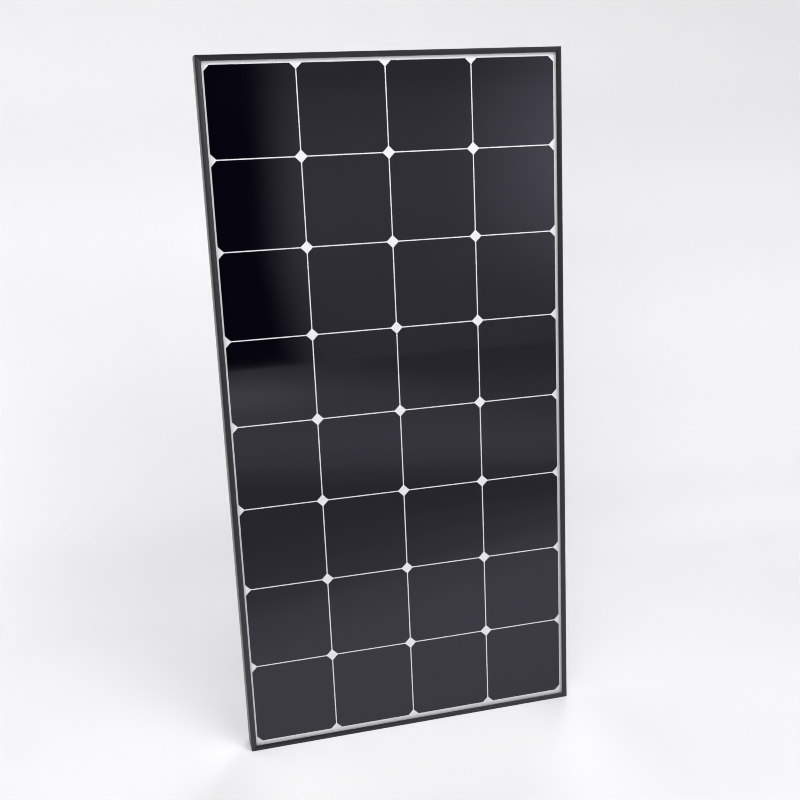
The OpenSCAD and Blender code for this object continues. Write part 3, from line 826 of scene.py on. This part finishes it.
# Painted light and shade of the paper along the sheet, darker high up the wall: (height on the wall, or minus
# the distance of the floor before it, tone)
PAPER_LIGHT_AND_SHADE = ((-1.60, 0.86), (-0.70, 0.83), (-0.40, 0.82), (-0.05, 0.84), (0.16, 0.88), (0.42, 0.87),
               (0.72, 0.81), (1.0, 0.73), (1.3, 0.69), (2.6, 0.62))
PAPER_TINT = (1.0, 0.997, 1.010)
# Painted shade, as the paper darkens a little from left to right: between two places, from one share to
# another
PAPER_SIDE_SHADE = (-0.9, 1.1, 1.0, 0.91)
# The paper thins out into the even light behind it between these distances from the part
PAPER_FADE = (2.4, 6.0)
# Glow of the floor before the panel: strength, reach forward, middle, half width, softness of its sides
FOOT_GLOW = (0.25, 0.42, -0.01, 0.26, 0.10)
# How far behind the panel's front that glow has gone
FOOT_GLOW_BACK = 0.09


def stage_mesh(name, mesh, material):
    """Links a mesh as part of the studio, not of the object."""
    obj = bpy.data.objects.new(name, mesh)
    bpy.context.scene.collection.objects.link(obj)
    obj.data.materials.append(material)
    return obj


def ramp_of(n, value, stops, low, high):
    """A grey curve through (position, tone) stops, as a colour ramp."""
    ramp = n.add("ShaderNodeValToRGB")
    ramp.color_ramp.interpolation = "EASE"
    n.link(n.remap(value, low, high, 0.0, 1.0), ramp.inputs[0])
    marks = ramp.color_ramp.elements
    while len(marks) < len(stops):
        marks.new(0.5)
    for mark, (place, tone) in zip(marks, stops):
        mark.position = (place - low) / (high - low)
        mark.color = (tone, tone, tone, 1.0)
    return ramp.outputs[0]


def foot_glow(n, axes):
    """A soft glow of the floor close before the panel, which would otherwise lie in its shade."""
    gain, reach, middle, half_width, softness = FOOT_GLOW
    ahead = n.maths("SUBTRACT", panel_low.y, axes["Y"])
    near = n.remap(ahead, 0.0, reach, gain, 0.0, True)
    near = n.maths("MULTIPLY", near, n.remap(ahead, -FOOT_GLOW_BACK, 0.0, 0.0, 1.0, True))
    aside = n.maths("ABSOLUTE", n.maths("SUBTRACT", axes["X"], middle))
    inside = n.remap(aside, half_width - softness, half_width + softness, 1.0, 0.0, True)
    glow = n.add("ShaderNodeEmission")
    glow.inputs["Color"].default_value = (*PAPER_TINT, 1.0)
    n.link(n.maths("MULTIPLY", near, inside), glow.inputs["Strength"])
    return glow.outputs[0]


def paper_material():
    """Studio paper with light and shade painted in slow tones from floor to wall and from left to right, seen
    only from its front.
    """
    material, n = new_material("studio_paper")
    axes = n.axes(n.place())
    before = n.maths("MINIMUM", n.maths("SUBTRACT", axes["Y"], WALL_Y - SEAM_RADIUS), 0.0)
    along = n.maths("ADD", axes["Z"], before)
    # Painted light and shade along the sheet, from floor to wall.
    tone = ramp_of(n, along, PAPER_LIGHT_AND_SHADE, PAPER_LIGHT_AND_SHADE[0][0], PAPER_LIGHT_AND_SHADE[-1][0])
    # Painted shade: the paper darkens from left to right.
    side = n.remap(axes["X"], *PAPER_SIDE_SHADE, smooth=True)
    cloud = n.remap(n.noise(n.place(), 2.2, 3.0), 0.3, 0.7, 0.99, 1.01)
    shade = n.maths("MULTIPLY", n.maths("MULTIPLY", tone, side), cloud)
    colour = n.add("ShaderNodeCombineXYZ")
    for socket, tint in zip(colour.inputs, PAPER_TINT):
        n.link(n.maths("MULTIPLY", shade, tint), socket)
    diffuse = n.add("ShaderNodeBsdfDiffuse")
    n.link(colour.outputs[0], diffuse.inputs["Color"])
    paper = n.add("ShaderNodeAddShader")
    n.link(diffuse.outputs[0], paper.inputs[0])
    n.link(foot_glow(n, axes), paper.inputs[1])
    behind = n.add("ShaderNodeNewGeometry").outputs["Backfacing"]
    length = n.add("ShaderNodeVectorMath", operation="LENGTH")
    n.link(n.place(), length.inputs[0])
    far = n.remap(length.outputs["Value"], *PAPER_FADE, 0.0, 1.0, True)
    mixed = n.add("ShaderNodeMixShader")
    n.link(n.maths("MAXIMUM", behind, far), mixed.inputs[0])
    n.link(paper.outputs[0], mixed.inputs[1])
    n.link(n.add("ShaderNodeBsdfTransparent").outputs[0], mixed.inputs[2])
    out = n.add("ShaderNodeOutputMaterial")
    n.link(mixed.outputs[0], out.inputs["Surface"])
    return material


def sheet_mesh(name, line):
    """A sheet as wide as the studio that follows a line of (y, z) points, facing the camera's side."""
    verts = [(x, y, z) for y, z in line for x in (-STUDIO_REACH, STUDIO_REACH)]
    faces = [(2 * i, 2 * i + 1, 2 * i + 3, 2 * i + 2) for i in range(len(line) - 1)]
    mesh = bpy.data.meshes.new(name)
    mesh.from_pydata(verts, [], faces)
    mesh.shade_smooth()
    return mesh


SEAM_STEPS = 24
# The second sheet runs on behind the wall, a hair below the first
FLOOR_DROP = 0.001
FLOOR_OVERLAP = 0.3


def make_sweep():
    """Paper that comes down the wall, bends and runs on as the floor, and a floor behind the wall."""
    material = paper_material()
    bend_y = WALL_Y - SEAM_RADIUS
    line = [(-STUDIO_REACH, 0.0), (bend_y, 0.0)]
    for i in range(1, SEAM_STEPS + 1):
        angle = math.pi / 2 * i / SEAM_STEPS
        line.append((bend_y + SEAM_RADIUS * math.sin(angle), SEAM_RADIUS * (1 - math.cos(angle))))
    line.append((WALL_Y, WALL_TOP))
    stage_mesh("studio_sweep", sheet_mesh("studio_sweep", line), material).visible_shadow = False
    ends = [(bend_y - FLOOR_OVERLAP, -FLOOR_DROP), (STUDIO_REACH, -FLOOR_DROP)]
    stage_mesh("studio_floor", sheet_mesh("studio_floor", ends), material)


def glossy_only(card):
    """A card that shows in reflections but not to the camera, and casts no shadow."""
    card.visible_camera = False
    card.visible_diffuse = False
    card.visible_shadow = False
    card.visible_transmission = False
    card.visible_volume_scatter = False


def card_mesh(name, corners):
    mesh = bpy.data.meshes.new(name)
    mesh.from_pydata(corners, [], [(0, 1, 2, 3)])
    return mesh


CARD_TINT = (1.04, 1.00, 1.18)
CARD_REACH = 6.0
ROOM_CARD_TOP = 4.5
FLOOR_CARD_HEIGHT = 2 * MM
FLOOR_CARD_GAP = 2 * MM


def emission_output(n, strength):
    """Wires a glow in the cards' tint to the output."""
    glow = n.add("ShaderNodeEmission")
    glow.inputs["Color"].default_value = (*CARD_TINT, 1.0)
    n.link(strength, glow.inputs["Strength"])
    out = n.add("ShaderNodeOutputMaterial")
    n.link(glow.outputs[0], out.inputs["Surface"])


def glow_at(n, across, up, place, reach, gain):
    """A soft round patch of light around a place on a card."""
    a = n.maths("SUBTRACT", across, place[0])
    b = n.maths("SUBTRACT", up, place[1])
    far = n.maths("SQRT", n.maths("ADD", n.maths("MULTIPLY", a, a), n.maths("MULTIPLY", b, b)))
    return n.remap(far, 0.0, reach, gain, 0.0, smooth=True)


ROOM_Y = -3.0
# What the glass mirrors of the room: (height, brightness)
ROOM_TONES = ((0.0, 0.56), (0.20, 0.59), (0.45, 0.67), (0.70, 0.72), (0.92, 0.69), (1.06, 0.62),
              (1.20, 0.48), (2.4, 0.42))
# The dark flag: its right edge, how soft that is, how far it spreads and how high it spreads at its foot
DARK_EDGE_X = 0.272
DARK_SOFTNESS = 0.12
DARK_FOOT_SPREAD = 0.07
DARK_SPREAD_TOP = 0.45
# Where the flag's foot starts, and how soft that is
DARK_FOOT_Z = -0.05
DARK_FOOT_SOFTNESS = 0.09
# A soft lamp in the room: (x, z), reach, strength
LAMP = ((1.75, 0.87), 0.85, 0.95)
# Brightness of the room above the panel's head, left and right, which only the frame mirrors
HIGH_TONES = (0.05, 3.2)
# It goes from left to right between these places, and starts between these heights
HIGH_SPAN = (0.7, 2.0)
HIGH_START = (1.32, 1.55)
# How bright the floor before the panel looks in the glass: (distance from the glass, brightness)
FLOOR_TONES = ((0.0, 0.96), (0.14, 1.03), (0.30, 1.07), (0.44, 1.04), (0.56, 0.92), (0.71, 0.67),
               (0.87, 0.55), (1.04, 0.46), (1.20, 0.45), (1.34, 0.56), (1.50, 0.79), (1.68, 0.88),
               (2.25, 0.80), (3.0, 0.58))
# Those tones slant across the floor: around this place, by shares that change with the distance
FLOOR_MIDDLE_X = 0.20
FLOOR_SLANT = (0.80, 1.20, -0.34, 0.30)
# They fade on the far right: between two products of distance and place, from one share to another
FLOOR_FADE = (0.9, 2.2, 1.0, 0.76)
# A soft bright patch far out on the floor: (x, y), reach, strength
FLOOR_GLOW = ((-0.02, -2.50), 0.50, 0.36)


def make_room_card():
    """The room behind the camera, as the glass mirrors it: grey, with a dark flag and a soft lamp."""
    mesh = card_mesh("room_card", [(-CARD_REACH, ROOM_Y, 0.0), (CARD_REACH, ROOM_Y, 0.0),
                                   (CARD_REACH, ROOM_Y, ROOM_CARD_TOP), (-CARD_REACH, ROOM_Y, ROOM_CARD_TOP)])
    material, n = new_material("room_card")
    axes = n.axes(n.place())
    cloud = n.noise(n.place(), 1.7, 2.0)
    lamp = glow_at(n, axes["X"], axes["Z"], *LAMP)
    tone = ramp_of(n, axes["Z"], ROOM_TONES, 0.0, ROOM_TONES[-1][0])
    band = n.remap(axes["X"], *HIGH_SPAN, *HIGH_TONES, True)
    high = n.remap(axes["Z"], *HIGH_START, 0.0, 1.0, True)
    tone = n.maths("ADD", tone, n.maths("MULTIPLY", high, n.maths("SUBTRACT", band, tone)))
    grey = n.maths("MULTIPLY", n.remap(cloud, 0.3, 0.7, 0.96, 1.04), tone)
    spread = n.remap(axes["Z"], 0.0, DARK_SPREAD_TOP, DARK_FOOT_SPREAD, 0.0)
    past = n.maths("SUBTRACT", n.maths("SUBTRACT", axes["X"], DARK_EDGE_X), spread)
    side = n.remap(past, -DARK_SOFTNESS, DARK_SOFTNESS, 0.0, 1.0, True)
    foot = n.remap(axes["Z"], DARK_FOOT_Z, DARK_FOOT_Z + DARK_FOOT_SOFTNESS, 1.0, 0.0, True)
    open_share = n.maths("MAXIMUM", side, foot)
    emission_output(n, n.maths("MULTIPLY", n.maths("ADD", grey, lamp), open_share))
    glossy_only(stage_mesh("room_card", mesh, material))


def make_floor_card():
    """The floor before the panel, as the glass mirrors it."""
    near_y = panel_low.y - FLOOR_CARD_GAP
    corners = [(-CARD_REACH, ROOM_Y), (CARD_REACH, ROOM_Y), (CARD_REACH, near_y), (-CARD_REACH, near_y)]
    mesh = card_mesh("floor_card", [(x, y, FLOOR_CARD_HEIGHT) for x, y in corners])
    material, n = new_material("floor_card")
    axes = n.axes(n.place())
    away = n.maths("SUBTRACT", glass_low.y, axes["Y"])
    slant = n.remap(away, *FLOOR_SLANT, True)
    aside = n.maths("SUBTRACT", axes["X"], FLOOR_MIDDLE_X)
    distance = n.maths("ADD", away, n.maths("MULTIPLY", aside, slant))
    tone = ramp_of(n, distance, FLOOR_TONES, 0.0, FLOOR_TONES[-1][0])
    fade = n.remap(n.maths("MULTIPLY", away, axes["X"]), *FLOOR_FADE, True)
    tone = n.maths("MULTIPLY", tone, fade)
    glow = glow_at(n, axes["X"], axes["Y"], *FLOOR_GLOW)
    emission_output(n, n.maths("ADD", tone, glow))
    glossy_only(stage_mesh("floor_card", mesh, material))


def area_light(name, place, target, size, power, glossy):
    """A rectangular light that faces its target and that the camera doesn't see."""
    data = bpy.data.lights.new(name, "AREA")
    data.shape = "RECTANGLE"
    data.size, data.size_y = size
    data.energy = power
    light = bpy.data.objects.new(name, data)
    light.location = place
    light.rotation_euler = (Vector(target) - Vector(place)).to_track_quat("-Z", "Y").to_euler()
    light.visible_camera = False
    light.visible_glossy = glossy
    bpy.context.scene.collection.objects.link(light)


def make_world(above, sides):
    """Even white light, stronger from the sides than from above."""
    world = bpy.data.worlds.new("studio")
    world.use_nodes = True
    n = Nodes(world.node_tree)
    background = n.add("ShaderNodeBackground")
    height = n.axes(n.add("ShaderNodeTexCoord").outputs["Generated"])["Z"]
    n.link(n.remap(height, 0.10, 0.65, sides, above, smooth=True), background.inputs["Strength"])
    out = n.add("ShaderNodeOutputWorld")
    n.link(background.outputs[0], out.inputs["Surface"])
    bpy.context.scene.world = world


PANEL_MIDDLE = (0.0, 0.0, 0.5)
# Each light: name, place, target, size, power in watts, and whether gloss shows it. The key and the
# fill stand behind the room card, so that no mirrored ray meets them before the card.
LIGHTS = (
    ("key", (-3.1, -4.05, 2.4), PANEL_MIDDLE, (3.7, 3.7), 104.0, False),
    ("fill", (3.35, -4.05, 2.3), PANEL_MIDDLE, (3.7, 3.7), 86.0, False),
    ("front", (0.1, -1.8, 2.4), (0.1, -0.4, 0.0), (1.8, 1.2), 24.0, False),
    ("foot", (0.12, -0.70, 1.5), (0.12, -0.70, 0.0), (0.6, 0.4), 5.0, False),
    ("back", (1.5, 2.6, 2.6), PANEL_MIDDLE, (1.2, 1.2), 34.0, True),
)
# Strength of the even light from above and from the sides
WORLD_ABOVE = 0.36
WORLD_SIDES = 0.85
# Width of the pixel filter, which sets how crisp the thin white lines are
PIXEL_FILTER = 1.0


def make_studio():
    """World, paper, cards and lights, with the plain view transform."""
    bpy.context.scene.view_settings.view_transform = "Standard"
    bpy.context.scene.cycles.filter_width = PIXEL_FILTER
    make_world(WORLD_ABOVE, WORLD_SIDES)
    make_sweep()
    make_room_card()
    make_floor_card()
    for light in LIGHTS:
        area_light(*light)


# ---- Build ----

make_camera()
materials = make_materials()
paint_cad_nodes(materials)
film_piece(materials)
backsheet_piece(materials)
seen_straight_only(nodes["front_glass"])
for side in ("left", "right", "top", "bottom"):
    rounded_piece("frame_rail_" + side, RAIL_ROUNDING, materials)
rounded_piece("junction_box_base", BOX_BASE_ROUNDING, materials)
lid_piece(materials)
adhesive_piece(materials)
gland_nut_piece(materials)
make_studio()
